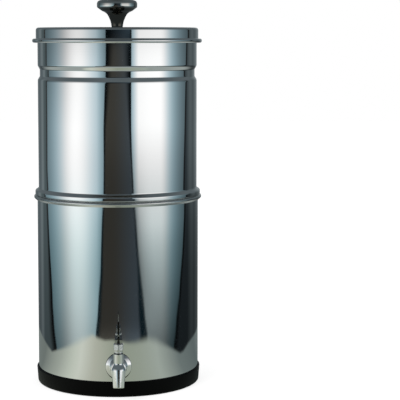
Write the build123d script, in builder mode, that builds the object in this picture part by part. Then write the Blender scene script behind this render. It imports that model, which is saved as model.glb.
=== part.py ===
"""Gravity water filter with a tap: two stacked steel chambers on a rubber base ring.

Millimetres, +Z up. The origin is on the chambers' axis, in the plane that the base ring
stands on. The tap faces -Y.
"""

import os
from math import atan, cos, degrees, pi, radians, sin

from build123d import *

# ---------------------------------------------------------------- driving dimensions

# sheet steel vessels
sheet = 0.8  # wall of both chambers and of the lid
lower_radius = 108.0  # outside of the lower chamber
upper_inset = 1.8  # how much smaller the upper chamber's radius is
lower_height = 244.5  # underside of the lower chamber to the top of its rim
upper_height = 222.2  # seat of the upper chamber to the top of its rim
corner_radius = 8.0  # rounding between a vessel's floor and wall

rim_reach = 4.4  # how far the lower chamber's rolled rim stands out from its wall
rim_height = 3.9  # height of the rolled rim's upright face and shoulder
rim_curl = 2.9  # further drop of the curl, where it turns back to the wall
rim_curl_gap = 1.3  # from the wall to the curl's edge
rim_roundings = (1.0, 2.8, 2.2)  # inside the mouth, the shoulder, the curl

bulge_reach = 4.5  # how far the bulge at the upper chamber's foot stands out
bulge_height = 4.6  # upright part of the bulge
bulge_slope = 5.0  # further rise over which it runs back into the wall
step_gap = 3.7  # between the upper chamber's stepped foot and the lower wall
step_depth = 16.5  # how far that foot reaches below the seat
bulge_roundings = (1.2, 1.8, 3.6, 3.0)  # under the seat, the bulge's two edges, its run-out

band_drop = 49.3  # rim of the upper chamber to the upper edge of its sunken band
band_height = 18.7  # sunken band with both of its bevels
band_bevels = (4.8, 5.2)  # heights of its lower and upper bevel
band_depth = 2.8
band_rounding = 4.0
hem_thickness = 0.75  # folded hem outside the upper chamber's rim
hem_height = 4.0
hem_rounding = 1.2  # upper outside edge of the hem

# base ring
ring_ledge = 9.0  # rubber under the lower chamber
ring_height = 20.5
ring_wall = 2.4  # rubber outside the lower chamber
ring_taper = 1.5  # how far the ring's outside draws in towards its foot
ring_ledge_width = 14.0  # rubber ledge under the lower chamber's edge
ring_edge = 3.0  # rounding of the lower outside edge

# lid
lid_skirt_gap = 0.6  # between the hem and the lid's skirt
lid_skirt_height = 14.0  # top of the lid to the top of the bead
lid_edge = 2.5  # rounding of the top edge
bead_reach = 4.8  # how far the bead stands out from the skirt
bead_height = 6.2
bead_curl_gap = 0.9  # from the skirt to the curl's edge
bead_foot_rounding = 0.6  # where the skirt turns out into the bead
bead_rounding = 2.6

# knob
knob_radius = 26.9
knob_foot_radius = 7.6
knob_height = 36.8
knob_rim_height = 4.5  # upright edge of the knob's cap
knob_cap_height = 6.4  # crown above that edge
knob_crown_radius = 19.5  # flat middle of the crown
knob_crown_drop = 0.7  # fall of the crown from its centre to there
knob_flare = ((9.7, 9.6), (13.0, 16.2))  # radius and height above the foot, on the neck's flare
knob_throat = (20.2, 21.0)  # radius and height where the flare meets the cap's sloping underside
knob_flare_slopes = ((0.12, 1), (1, 0.4))  # its directions at the foot and there
knob_rim_rounding = 2.2
gasket_thickness = 1.0
screw_radius = 2.5
screw_hole_gap = 0.3
screw_reach = 14.0  # screw inside the knob
screw_head_radius = 4.8
screw_head_height = 3.2
screw_head_edge = 1.2
screw_slot = (5.0, 1.0)  # length and width of the cross slot
screw_slot_depth = 1.8
screw_washer_radius = 8.0
screw_washer_thickness = 1.2

# tap
tap_height = 41.5  # shank's axis above the ground
tap_reach = 34.0  # lower chamber's wall to the spout's axis
washer_bed = 1.6  # rubber between the wall and the flange
flange_radius = 15.6
flange_thickness = 3.6
flange_edge = 1.4
hub_radius = 11.4
hub_length = 3.6
outer_washer_radius = 16.8
barrel_radius = 9.75
shank_radius = 8.0
shank_hole_gap = 0.2
shank_inside = 26.0  # shank inside the lower chamber
water_bore_radius = 4.8
elbow_rise = 2.0  # shank's axis to the middle of the ball where barrel, neck and spout meet
spout_radius = 9.1  # of that ball, and of the spout where it leaves it
spout_tip_radius = 7.2
spout_length = 22.3  # middle of the ball to the spout's tip
spout_lean = 10.0  # degrees, forward of plumb
spout_bore_radius = 5.4
spout_edge = 0.8
neck_taper = 0.3
barrel_inset = 0.3  # the barrel's end is this much narrower than the ball
neck_radius = 6.15
neck_rise = 23.5  # shank's axis to the top of the neck
valve_radius = 5.0  # chamber that the stem works in
seat_drop = 5.5  # shank's axis to the valve seat
seat_thickness = 2.0
seat_hole_radius = 3.4
inner_washer_radius = 13.0
inner_washer_thickness = 3.0
steel_washer_radius = 13.0
steel_washer_thickness = 1.5
nut_flat_radius = 11.5  # centre to flat
nut_thickness = 8.0

# bonnet
bonnet_flat_radius = 6.4
bonnet_height = 12.4
bonnet_top_thickness = 4.4
bonnet_plug_depth = 8.0  # spigot inside the neck
bonnet_plug_gap = 0.05
bonnet_chamfers = (2.4, 1.4)  # slopes of the turned corners, below and above
bonnet_foot_radius = 5.9  # where the lower one starts
bonnet_turning = 0.4  # the turned outline passes this far outside the corners
bonnet_bore_radius = 4.1
bonnet_seal_thickness = 0.9
bonnet_seal_radius = 5.7
seal_ring_thickness = 2.0
gland_thickness = 0.8

# stem, seal and spring
stem_radius = 2.5
running_gap = 0.05
lift = 4.0  # stem's travel
valve_seal_radius = 4.5
valve_seal_thickness = 4.0
collar_radius = 3.9
collar_rise = 3.0  # valve seal to the collar
collar_thickness = 1.5
eye_thickness = 3.0
eye_radius = 3.0
flat_margin = 0.1  # stem's flats start this far inside the bonnet when it is lifted
spring_wire_radius = 0.4
spring_radius = 3.3  # to the wire's centre
spring_turns = 8
spring_end_gap = 0.05

# lever
lever_angle = 75.0  # degrees from shut to open
cam_steps = 6
pin_rise = 5.4  # bonnet's top to the pin
pin_radius = 1.2
cam_gap = 0.06  # between the cam and the bonnet
ear_thickness = 3.0
ear_gap = 0.25  # between an ear and the stem's eye
ear_radius = 5.0
ear_back = 3.2  # flat sole behind the pin
bridge_clearance = 0.45  # from the eye to the bridge that joins the ears
blade_height = 22.0  # pin to the blade's tip
blade_thickness = 1.8
blade_root = 3.4  # half depth of the blade at the ears
blade_tip = 4.6  # half depth near its tip
blade_corner = 2.5  # cut off at the tip
blade_lift = 0.4  # blade's foot above the slot

# filter candles and blanking plugs
candle_wall_gap = 17.5  # between a candle's base and the stepped foot
plug_inset = 33.5  # stepped foot to a plug's axis
floor_hole_radius = 5.1
thread_radius = 4.9
candle_radius = 32.0
candle_height = 178.0
candle_wall = 7.0
core_gap = 0.5
candle_base_radius = 34.0
candle_base_height = 12.0
candle_socket = 6.0  # shell let into its base
moulded_edge = 1.5  # upper edges of the bases and plugs
water_way_radius = 2.2
floor_washer_radius = 12.0
floor_washer_thickness = 2.0
thread_reach = 22.0  # thread below the floor
plug_head_radius = 10.0
plug_head_height = 5.0
plug_thread_reach = 16.0
wing_hub_radius = 7.5
wing_hub_height = 6.0
wing_span = 15.0  # axis to a wing's tip
wing_height = 10.0
wing_thickness = 2.4
wing_root = 1.2  # wing's inner edge outside the thread
wing_inset = 3.0  # its upper corner inside the span
wing_foot = 5.0  # width of its lower end
wing_shoulder = 1.0  # below the hub's upper face, and above its lower one
wing_rounding = 1.2

# ---------------------------------------------------------------- heights and places

chamber_base = ring_ledge
ring_inner_radius = lower_radius - ring_ledge_width
seat = chamber_base + lower_height  # top of the lower rim, which the upper chamber sits on
upper_rim = seat + upper_height
upper_radius = lower_radius - upper_inset
bulge_radius = upper_radius + bulge_reach
step_radius = lower_radius - sheet - step_gap
floor_under = seat - step_depth  # underside of the upper chamber's floor
floor_top = floor_under + sheet
candle_spacing = step_radius - candle_base_radius - candle_wall_gap
plug_spacing = step_radius - plug_inset
lid_top = upper_rim + sheet
lid_inner_radius = upper_radius + hem_thickness + lid_skirt_gap
lid_skirt_radius = lid_inner_radius + sheet
bead_top = lid_top - lid_skirt_height
knob_foot = lid_top + gasket_thickness
band_top = upper_rim - band_drop
band_bottom = band_top - band_height

wall_front = -lower_radius  # the wall's outside on the tap's side
flange_back = wall_front - washer_bed
flange_front = flange_back - flange_thickness
hub_front = flange_front - hub_length
spout_y = wall_front - tap_reach
shank_end = wall_front + sheet + shank_inside
wall_inside = wall_front + sheet
inner_washer_face = wall_inside + inner_washer_thickness
steel_washer_face = inner_washer_face + steel_washer_thickness

valve_seat = tap_height - seat_drop
neck_top = tap_height + neck_rise
elbow = tap_height + elbow_rise
bonnet_foot = neck_top + bonnet_seal_thickness
bonnet_top = bonnet_foot + bonnet_height
pin_height = bonnet_top + pin_rise
collar_base = valve_seat + valve_seal_thickness + collar_rise
spring_base = collar_base + collar_thickness
seal_ring_base = bonnet_top - bonnet_top_thickness - seal_ring_thickness
gland_base = seal_ring_base - gland_thickness
stem_axis = Axis((0, spout_y, 0), (0, 0, 1))
lift_per_radian = lift / radians(lever_angle)


def finish(part, name):
    """Name a finished piece and write it."""
    part.label = name
    export_step(part, f"parts/{name}.step")


os.makedirs("parts", exist_ok=True)

# ---------------------------------------------------------------- chambers and base

with BuildPart() as lower_chamber:
    with BuildSketch(Plane.XZ):
        with BuildLine():
            inside = lower_radius - sheet
            rim_radius = lower_radius + rim_reach
            inner_face = FilletPolyline(
                (0, chamber_base + sheet),
                (inside, chamber_base + sheet),
                (inside, seat),
                (rim_radius, seat),
                (rim_radius, seat - rim_height),
                (lower_radius + rim_curl_gap, seat - rim_height - rim_curl),
                radius=(corner_radius - sheet, *rim_roundings),
            )
            offset(inner_face, amount=sheet, side=Side.RIGHT, closed=True, mode=Mode.REPLACE)
        make_face()
    revolve(axis=Axis.Z)
    with Locations(Location((0, wall_front, tap_height), (90, 0, 0))):
        Cylinder(shank_radius + shank_hole_gap, 4 * corner_radius, mode=Mode.SUBTRACT)
finish(lower_chamber.part, "lower_chamber")

with BuildPart() as base_ring:
    with BuildSketch(Plane.XZ):
        with BuildLine():
            ring_radius = lower_radius + ring_wall
            Polyline(
                (ring_inner_radius, 0),
                (ring_radius - ring_taper, 0),
                (ring_radius, ring_height),
                (lower_radius, ring_height),
                (lower_radius, chamber_base),
                (ring_inner_radius, chamber_base),
                close=True,
            )
        make_face()
        outer_foot = vertices().sort_by(Axis.X)[-2:].sort_by(Axis.Y)[0]
        fillet(outer_foot, ring_edge)
        with BuildLine():
            # rubber fills the corner under the chamber's rounded edge
            Line((lower_radius, chamber_base), (lower_radius - corner_radius, chamber_base))
            RadiusArc(
                (lower_radius - corner_radius, chamber_base),
                (lower_radius, chamber_base + corner_radius),
                -corner_radius,
            )
            Line((lower_radius, chamber_base + corner_radius), (lower_radius, chamber_base))
        make_face()
    revolve(axis=Axis.Z)
finish(base_ring.part, "base_ring")

with BuildPart() as upper_chamber:
    with BuildSketch(Plane.XZ):
        with BuildLine():
            band_radius = upper_radius - band_depth
            outer_face = FilletPolyline(
                (0, floor_under),
                (step_radius, floor_under),
                (step_radius, seat),
                (bulge_radius, seat),
                (bulge_radius, seat + bulge_height),
                (upper_radius, seat + bulge_height + bulge_slope),
                (upper_radius, band_bottom),
                (band_radius, band_bottom + band_bevels[0]),
                (band_radius, band_top - band_bevels[1]),
                (upper_radius, band_top),
                (upper_radius, upper_rim),
                radius=(corner_radius, *bulge_roundings, *4 * (band_rounding,)),
            )
            offset(outer_face, amount=sheet, side=Side.LEFT, closed=True, mode=Mode.REPLACE)
        make_face()
        with Locations((upper_radius + hem_thickness / 2, upper_rim - hem_height / 2)):
            Rectangle(hem_thickness, hem_height)
    revolve(axis=Axis.Z)
    rim_edges = edges().filter_by(GeomType.CIRCLE).group_by(Axis.Z)[-1]
    fillet(rim_edges.sort_by(SortBy.RADIUS)[-1], hem_rounding)
    with Locations(
        (-candle_spacing, 0, floor_under),
        (candle_spacing, 0, floor_under),
        (0, -plug_spacing, floor_under),
        (0, plug_spacing, floor_under),
    ):
        Cylinder(floor_hole_radius, 4 * sheet, mode=Mode.SUBTRACT)
finish(upper_chamber.part, "upper_chamber")

# ---------------------------------------------------------------- lid and knob

with BuildPart() as lid_shell:
    with BuildSketch(Plane.XZ):
        with BuildLine():
            bead_radius = lid_skirt_radius + bead_reach
            outer_face = FilletPolyline(
                (0, lid_top),
                (lid_skirt_radius, lid_top),
                (lid_skirt_radius, bead_top),
                (bead_radius, bead_top),
                (bead_radius, bead_top - bead_height),
                (lid_skirt_radius + bead_curl_gap, bead_top - bead_height),
                radius=(lid_edge, bead_foot_rounding, bead_rounding, bead_rounding),
            )
            offset(outer_face, amount=sheet, side=Side.RIGHT, closed=True, mode=Mode.REPLACE)
        make_face()
    revolve(axis=Axis.Z)
    with Locations((0, 0, lid_top)):
        Cylinder(screw_radius + screw_hole_gap, 4 * sheet, mode=Mode.SUBTRACT)
finish(lid_shell.part, "lid_shell")

with BuildPart() as knob_gasket:
    with BuildSketch(Plane.XY.offset(lid_top)):
        Circle(knob_foot_radius)
        Circle(screw_radius + screw_hole_gap, mode=Mode.SUBTRACT)
    extrude(amount=gasket_thickness)
finish(knob_gasket.part, "knob_gasket")

with BuildPart() as lid_knob:
    with BuildSketch(Plane.XZ):
        with BuildLine():
            cap_base = knob_foot + knob_height - knob_cap_height - knob_rim_height
            cap_edge = cap_base + knob_rim_height
            knob_top = cap_edge + knob_cap_height
            neck = [(radius, knob_foot + rise) for radius, rise in (*knob_flare, knob_throat)]
            Line((0, knob_foot), (knob_foot_radius, knob_foot))
            Spline((knob_foot_radius, knob_foot), *neck, tangents=knob_flare_slopes)
            Line(neck[-1], (knob_radius, cap_base))
            Line((knob_radius, cap_base), (knob_radius, cap_edge))
            Spline(
                (knob_radius, cap_edge),
                (knob_crown_radius, knob_top - knob_crown_drop),
                (0, knob_top),
                tangents=((0, 1), (-1, 0)),
            )
            Line((0, knob_top), (0, knob_foot))
        make_face()
        fillet(vertices().sort_by(Axis.X)[-2:].sort_by(Axis.Y)[0], knob_rim_rounding)
    revolve(axis=Axis.Z)
    with Locations((0, 0, knob_foot)):
        Cylinder(
            screw_radius,
            screw_reach,
            align=(Align.CENTER, Align.CENTER, Align.MIN),
            mode=Mode.SUBTRACT,
        )
finish(lid_knob.part, "lid_knob")

lid_underside = lid_top - sheet
with BuildPart() as knob_washer:
    with BuildSketch(Plane.XY.offset(lid_underside - screw_washer_thickness)):
        Circle(screw_washer_radius)
        Circle(screw_radius + screw_hole_gap, mode=Mode.SUBTRACT)
    extrude(amount=screw_washer_thickness)
finish(knob_washer.part, "knob_washer")

screw_seat = lid_underside - screw_washer_thickness
with BuildPart() as knob_screw:
    with BuildSketch(Plane.XY.offset(screw_seat - screw_head_height)):
        Circle(screw_head_radius)
    extrude(amount=screw_head_height)
    fillet(edges().group_by(Axis.Z)[0], screw_head_edge)
    with BuildSketch(Plane.XY.offset(screw_seat)):
        Circle(screw_radius)
    extrude(amount=knob_foot + screw_reach - screw_seat)
    with BuildSketch(Plane.XY.offset(screw_seat - screw_head_height)):
        Rectangle(*screw_slot)
        Rectangle(*screw_slot, rotation=90)
    extrude(amount=screw_slot_depth, mode=Mode.SUBTRACT)
finish(knob_screw.part, "knob_screw")

# ---------------------------------------------------------------- tap

shank_plane = Plane((0, 0, tap_height), x_dir=(1, 0, 0), z_dir=(0, -1, 0))
spout_way = (0, -sin(radians(spout_lean)), -cos(radians(spout_lean)))
spout_plane = Plane((0, spout_y, elbow), x_dir=(1, 0, 0), z_dir=spout_way)
spout_side = Plane((0, spout_y, elbow), x_dir=(1, 0, 0), z_dir=(0, -spout_way[2], spout_way[1]))
spout_axis = Axis((0, spout_y, elbow), spout_way)


def at_y(y):
    """Plane across the shank at the given Y, facing the user."""
    return shank_plane.offset(-y)


with BuildPart() as tap_body:
    with BuildSketch(at_y(shank_end)):
        Circle(shank_radius)
    extrude(amount=shank_end - flange_back)
    with BuildSketch(at_y(flange_back)):
        Circle(flange_radius)
    extrude(amount=flange_thickness)
    fillet(edges().filter_by(GeomType.CIRCLE).sort_by(Axis.Y)[0], flange_edge)
    with BuildSketch(at_y(flange_front)):
        Circle(hub_radius)
    extrude(amount=hub_length)
    fillet(edges().filter_by(GeomType.CIRCLE).sort_by(Axis.Y)[0], flange_edge)
    with BuildSketch(at_y(hub_front)):
        Circle(barrel_radius)
    barrel_length = hub_front - spout_y
    barrel_closing = barrel_radius - spout_radius + barrel_inset
    extrude(amount=barrel_length, taper=degrees(atan(barrel_closing / barrel_length)))
    # valve neck
    with Locations((0, spout_y, elbow)):
        Cone(
            neck_radius - neck_taper,
            neck_radius,
            neck_top - elbow,
            align=(Align.CENTER, Align.CENTER, Align.MIN),
        )
    # ball and spout in one, about the leaning axis
    with BuildSketch(spout_side):
        with BuildLine():
            ball_top = (0, -spout_radius)
            closing = atan((spout_radius - spout_tip_radius) / spout_length)
            leaves = (spout_radius * cos(closing), spout_radius * sin(closing))
            ThreePointArc(ball_top, (spout_radius, 0), leaves)
            Polyline(leaves, (spout_tip_radius, spout_length), (0, spout_length), ball_top)
        make_face()
    revolve(axis=spout_axis)
    fillet(edges().filter_by(GeomType.CIRCLE).group_by(Axis.Z)[0], spout_edge)
    # waterways
    with BuildSketch(at_y(shank_end)):
        Circle(water_bore_radius)
    extrude(amount=shank_end - spout_y, mode=Mode.SUBTRACT)
    with Locations((0, spout_y, valve_seat)):
        Cylinder(
            valve_radius,
            neck_top - valve_seat,
            align=(Align.CENTER, Align.CENTER, Align.MIN),
            mode=Mode.SUBTRACT,
        )
        Cylinder(seat_hole_radius, 4 * seat_thickness, mode=Mode.SUBTRACT)
    # the bore's upper end keeps the seat's thickness at its highest point
    bore_high = spout_bore_radius * sin(radians(spout_lean))
    bore_start = (elbow + bore_high - valve_seat + seat_thickness) / cos(radians(spout_lean))
    with BuildSketch(spout_plane.offset(bore_start)):
        Circle(spout_bore_radius)
    extrude(amount=spout_length, mode=Mode.SUBTRACT)
finish(tap_body.part, "tap_body")

with BuildPart() as tap_outer_washer:
    with BuildSketch(at_y(flange_back)):
        Circle(outer_washer_radius)
        Circle(shank_radius, mode=Mode.SUBTRACT)
    extrude(amount=-2 * washer_bed)
    Cylinder(
        lower_radius,
        2 * ring_height + 4 * outer_washer_radius,
        align=(Align.CENTER, Align.CENTER, Align.MIN),
        mode=Mode.SUBTRACT,
    )
finish(tap_outer_washer.part, "tap_outer_washer")

with BuildPart() as tap_inner_washer:
    with BuildSketch(at_y(inner_washer_face)):
        Circle(inner_washer_radius)
        Circle(shank_radius, mode=Mode.SUBTRACT)
    extrude(amount=2 * inner_washer_thickness)
    Cylinder(
        lower_radius - sheet,
        2 * ring_height + 4 * inner_washer_radius,
        align=(Align.CENTER, Align.CENTER, Align.MIN),
        mode=Mode.INTERSECT,
    )
finish(tap_inner_washer.part, "tap_inner_washer")

with BuildPart() as tap_steel_washer:
    with BuildSketch(at_y(steel_washer_face)):
        Circle(steel_washer_radius)
        Circle(shank_radius, mode=Mode.SUBTRACT)
    extrude(amount=steel_washer_thickness)
finish(tap_steel_washer.part, "tap_steel_washer")

with BuildPart() as tap_nut:
    with BuildSketch(at_y(steel_washer_face + nut_thickness)):
        RegularPolygon(nut_flat_radius, 6, major_radius=False)
        Circle(shank_radius, mode=Mode.SUBTRACT)
    extrude(amount=nut_thickness)
finish(tap_nut.part, "tap_nut")

# ---------------------------------------------------------------- valve

valve_plane = Plane((0, spout_y, 0))

with BuildPart() as bonnet_seal:
    with BuildSketch(valve_plane.offset(neck_top)):
        Circle(bonnet_seal_radius)
        Circle(valve_radius, mode=Mode.SUBTRACT)
    extrude(amount=bonnet_seal_thickness)
finish(bonnet_seal.part, "bonnet_seal")

with BuildPart() as tap_bonnet:
    with BuildSketch(valve_plane.offset(bonnet_foot)):
        RegularPolygon(bonnet_flat_radius, 6, major_radius=False, rotation=30)
    extrude(amount=bonnet_height)
    # the hexagon's corners are turned off at both ends
    with BuildSketch(Plane((0, spout_y, 0), x_dir=(1, 0, 0), z_dir=(0, -1, 0))):
        with BuildLine():
            corner = bonnet_flat_radius / cos(pi / 6) + bonnet_turning
            foot_slope = (corner - bonnet_foot_radius) * bonnet_chamfers[0]
            top_slope = (corner - bonnet_flat_radius) * bonnet_chamfers[1]
            Polyline(
                (0, bonnet_foot),
                (bonnet_foot_radius, bonnet_foot),
                (corner, bonnet_foot + foot_slope),
                (corner, bonnet_top - top_slope),
                (bonnet_flat_radius, bonnet_top),
                (0, bonnet_top),
                close=True,
            )
        make_face()
    revolve(axis=stem_axis, mode=Mode.INTERSECT)
    with BuildSketch(valve_plane.offset(bonnet_foot)):
        Circle(valve_radius - bonnet_plug_gap)
    extrude(amount=-bonnet_plug_depth)
    with BuildSketch(valve_plane.offset(bonnet_foot - bonnet_plug_depth)):
        Circle(bonnet_bore_radius)
    extrude(
        amount=bonnet_height + bonnet_plug_depth - bonnet_top_thickness, mode=Mode.SUBTRACT
    )
    with BuildSketch(valve_plane.offset(bonnet_top)):
        Circle(stem_radius + running_gap)
    extrude(amount=-2 * bonnet_top_thickness, mode=Mode.SUBTRACT)
finish(tap_bonnet.part, "tap_bonnet")

with BuildPart() as stem_seal_ring:
    with BuildSketch(valve_plane.offset(seal_ring_base)):
        Circle(bonnet_bore_radius)
        Circle(stem_radius + running_gap, mode=Mode.SUBTRACT)
    extrude(amount=seal_ring_thickness)
finish(stem_seal_ring.part, "stem_seal_ring")

with BuildPart() as gland_washer:
    with BuildSketch(valve_plane.offset(gland_base)):
        Circle(bonnet_bore_radius)
        Circle(stem_radius + running_gap, mode=Mode.SUBTRACT)
    extrude(amount=gland_thickness)
finish(gland_washer.part, "gland_washer")

with BuildPart() as valve_stem:
    stem_foot = valve_seat + valve_seal_thickness / 2
    with BuildSketch(valve_plane.offset(stem_foot)):
        Circle(stem_radius)
    extrude(amount=pin_height - stem_foot)
    # two flats, so that the ears pass the lifted stem on both sides
    flats_base = bonnet_top - lift - flat_margin
    with BuildSketch(valve_plane.offset(flats_base)):
        Circle(eye_radius)
        Rectangle(eye_thickness, 2 * eye_radius, mode=Mode.SUBTRACT)
    extrude(amount=pin_height - flats_base, mode=Mode.SUBTRACT)
    with BuildSketch(valve_plane.offset(collar_base)):
        Circle(collar_radius)
    extrude(amount=collar_thickness)
    # eye for the lever's pin
    eye_plane = Plane((0, spout_y, pin_height), x_dir=(0, 1, 0), z_dir=(1, 0, 0))
    with BuildSketch(eye_plane):
        Circle(eye_radius)
    extrude(amount=eye_thickness / 2, both=True)
    with BuildSketch(eye_plane):
        Circle(pin_radius + running_gap)
    extrude(amount=eye_thickness, both=True, mode=Mode.SUBTRACT)
finish(valve_stem.part, "valve_stem")

with BuildPart() as valve_seal:
    with BuildSketch(valve_plane.offset(valve_seat)):
        Circle(valve_seal_radius)
    extrude(amount=valve_seal_thickness)
    with BuildSketch(valve_plane.offset(stem_foot)):
        Circle(stem_radius)
    extrude(amount=valve_seal_thickness, mode=Mode.SUBTRACT)
finish(valve_seal.part, "valve_seal")

spring_start = spring_base + spring_wire_radius + spring_end_gap
spring_rise = gland_base - spring_base - 2 * (spring_wire_radius + spring_end_gap)
spring_pitch = spring_rise / spring_turns
with BuildPart() as stem_spring:
    with BuildLine() as coil:
        Helix(spring_pitch, spring_rise, spring_radius, center=(0, spout_y, spring_start))
    with BuildSketch(Plane(coil.line @ 0, z_dir=coil.line % 0)):
        Circle(spring_wire_radius)
    sweep()
finish(stem_spring.part, "stem_spring")

# ---------------------------------------------------------------- lever


def cam_point(turn):
    """Point of the cam under the pin, (y, z) from the pin, for a lever turned by this angle.

    The cam's distance to the bonnet grows by the same amount for each degree, so the stem's
    rise keeps a constant ratio to the lever's angle.
    """
    reach = pin_rise - cam_gap + lift_per_radian * turn
    return (
        -reach * sin(turn) - lift_per_radian * cos(turn),
        -reach * cos(turn) + lift_per_radian * sin(turn),
    )


ear_start = eye_thickness / 2 + ear_gap
ear_end = ear_start + ear_thickness
full_turn = radians(lever_angle)
cam_sole = pin_rise - cam_gap
lever_plane = Plane((0, spout_y, pin_height), x_dir=(0, 1, 0), z_dir=(1, 0, 0))

with BuildPart() as tap_lever:
    with BuildSketch(lever_plane) as ear:
        with BuildLine():
            turns = [full_turn * step / cam_steps for step in range(cam_steps + 1)]
            cam = Spline(*[cam_point(turn) for turn in turns])
            nose = cam @ 1
            Line(nose, (0, ear_radius))
            RadiusArc((0, ear_radius), (ear_radius, 0), ear_radius)
            Line((ear_radius, 0), (ear_back, -cam_sole))
            Line((ear_back, -cam_sole), cam @ 0)
        make_face()
        Circle(pin_radius, mode=Mode.SUBTRACT)
    extrude(amount=ear_end, both=True)
    # slot for the stem and its eye
    with BuildSketch(lever_plane):
        slot_top = eye_radius + bridge_clearance
        with Locations((-ear_radius, slot_top)):
            Rectangle(8 * ear_radius, 8 * ear_radius, align=(Align.CENTER, Align.MAX))
    extrude(amount=ear_start, both=True, mode=Mode.SUBTRACT)
    # thumb blade
    with BuildSketch(lever_plane):
        with BuildLine():
            Polyline(
                (-blade_root, slot_top + blade_lift),
                (blade_root, slot_top + blade_lift),
                (blade_tip, blade_height - blade_corner),
                (blade_tip - blade_corner, blade_height),
                (-blade_tip + blade_corner, blade_height),
                (-blade_tip, blade_height - blade_corner),
                close=True,
            )
        make_face()
    extrude(amount=blade_thickness / 2, both=True)
finish(tap_lever.part, "tap_lever")

with BuildPart() as lever_pin:
    with BuildSketch(lever_plane.offset(-ear_end)):
        Circle(pin_radius)
    extrude(amount=2 * ear_end)
finish(lever_pin.part, "lever_pin")

# ---------------------------------------------------------------- candles and plugs


def wing_nut(top):
    """Wing nut on the Z axis, with its upper face at this height."""
    with BuildPart() as nut:
        with BuildSketch(Plane.XY.offset(top)):
            Circle(wing_hub_radius)
            Circle(thread_radius, mode=Mode.SUBTRACT)
        extrude(amount=-wing_hub_height)
        with BuildSketch(Plane.XZ):
            with BuildLine():
                root = thread_radius + wing_root
                FilletPolyline(
                    (root, top - wing_shoulder),
                    (wing_span - wing_inset, top - wing_shoulder),
                    (wing_span, top - wing_height),
                    (wing_span - wing_foot, top - wing_height),
                    (root, top - wing_hub_height + wing_shoulder),
                    radius=wing_rounding,
                    close=True,
                )
            make_face()
            mirror(about=Plane.YZ)
        extrude(amount=wing_thickness / 2, both=True)
    return nut.part


washer_top = floor_top + floor_washer_thickness
shell_base = washer_top + candle_base_height - candle_socket
cylinder_top = shell_base + candle_height - candle_radius

for side, place in (("left", -candle_spacing), ("right", candle_spacing)):
    axis_at = Location((place, 0, 0))

    with BuildPart() as candle_shell:
        with BuildSketch(Plane.XZ):
            with BuildLine():
                Line((candle_radius, shell_base), (candle_radius, cylinder_top))
                RadiusArc(
                    (candle_radius, cylinder_top),
                    (0, cylinder_top + candle_radius),
                    -candle_radius,
                )
                inner = candle_radius - candle_wall
                Line((0, cylinder_top + candle_radius), (0, cylinder_top + inner))
                RadiusArc((0, cylinder_top + inner), (inner, cylinder_top), inner)
                Line((inner, cylinder_top), (inner, shell_base))
                Line((inner, shell_base), (candle_radius, shell_base))
            make_face()
        revolve(axis=Axis.Z)
    finish(axis_at * candle_shell.part, f"candle_shell_{side}")

    with BuildPart() as candle_core:
        with BuildSketch(Plane.XY.offset(shell_base)):
            Circle(candle_radius - candle_wall - core_gap)
            Circle(water_way_radius, mode=Mode.SUBTRACT)
        extrude(amount=cylinder_top - shell_base)
    finish(axis_at * candle_core.part, f"candle_core_{side}")

    with BuildPart() as candle_base:
        with BuildSketch(Plane.XY.offset(washer_top)):
            Circle(candle_base_radius)
        extrude(amount=candle_base_height)
        fillet(edges().group_by(Axis.Z)[-1], moulded_edge)
        with BuildSketch(Plane.XY.offset(shell_base)):
            Circle(candle_radius)
        extrude(amount=candle_base_height, mode=Mode.SUBTRACT)
        with BuildSketch(Plane.XY.offset(floor_under - thread_reach)):
            Circle(thread_radius)
        extrude(amount=thread_reach + washer_top - floor_under)
        with BuildSketch(Plane.XY.offset(floor_under - thread_reach)):
            Circle(water_way_radius)
        extrude(amount=thread_reach + shell_base - floor_under, mode=Mode.SUBTRACT)
    finish(axis_at * candle_base.part, f"candle_base_{side}")

    with BuildPart() as candle_washer:
        with BuildSketch(Plane.XY.offset(floor_top)):
            Circle(floor_washer_radius)
            Circle(thread_radius, mode=Mode.SUBTRACT)
        extrude(amount=floor_washer_thickness)
    finish(axis_at * candle_washer.part, f"candle_washer_{side}")

    finish(axis_at * wing_nut(floor_under), f"candle_nut_{side}")

for side, place in (("front", -plug_spacing), ("rear", plug_spacing)):
    axis_at = Location((0, place, 0))

    with BuildPart() as plug:
        with BuildSketch(Plane.XY.offset(washer_top)):
            Circle(plug_head_radius)
        extrude(amount=plug_head_height)
        fillet(edges().group_by(Axis.Z)[-1], moulded_edge)
        with BuildSketch(Plane.XY.offset(floor_under - plug_thread_reach)):
            Circle(thread_radius)
        extrude(amount=plug_thread_reach + washer_top - floor_under)
    finish(axis_at * plug.part, f"blanking_plug_{side}")

    with BuildPart() as plug_washer:
        with BuildSketch(Plane.XY.offset(floor_top)):
            Circle(floor_washer_radius)
            Circle(thread_radius, mode=Mode.SUBTRACT)
        extrude(amount=floor_washer_thickness)
    finish(axis_at * plug_washer.part, f"plug_washer_{side}")

    finish(axis_at * wing_nut(floor_under), f"plug_nut_{side}")

# heights and places that the record repeats
print("seat", seat, "floor", floor_under, floor_top, "rim", upper_rim, "lid top", lid_top)
print("tap axis", tap_height, "spout y", spout_y, "valve seat", valve_seat)
print("collar", collar_base, "spring", spring_base, gland_base, "bonnet top", bonnet_top)
print("pin", pin_height, "lift per radian", lift_per_radian)
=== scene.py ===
"""Gravity water filter with a tap: its visible shapes and looks, built around its CAD nodes.

The frame is in metres, +Z up, with the tap towards -Y. Sizes below are in millimetres.
"""

from math import atan2, ceil, cos, pi, radians, sin, tan

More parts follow.
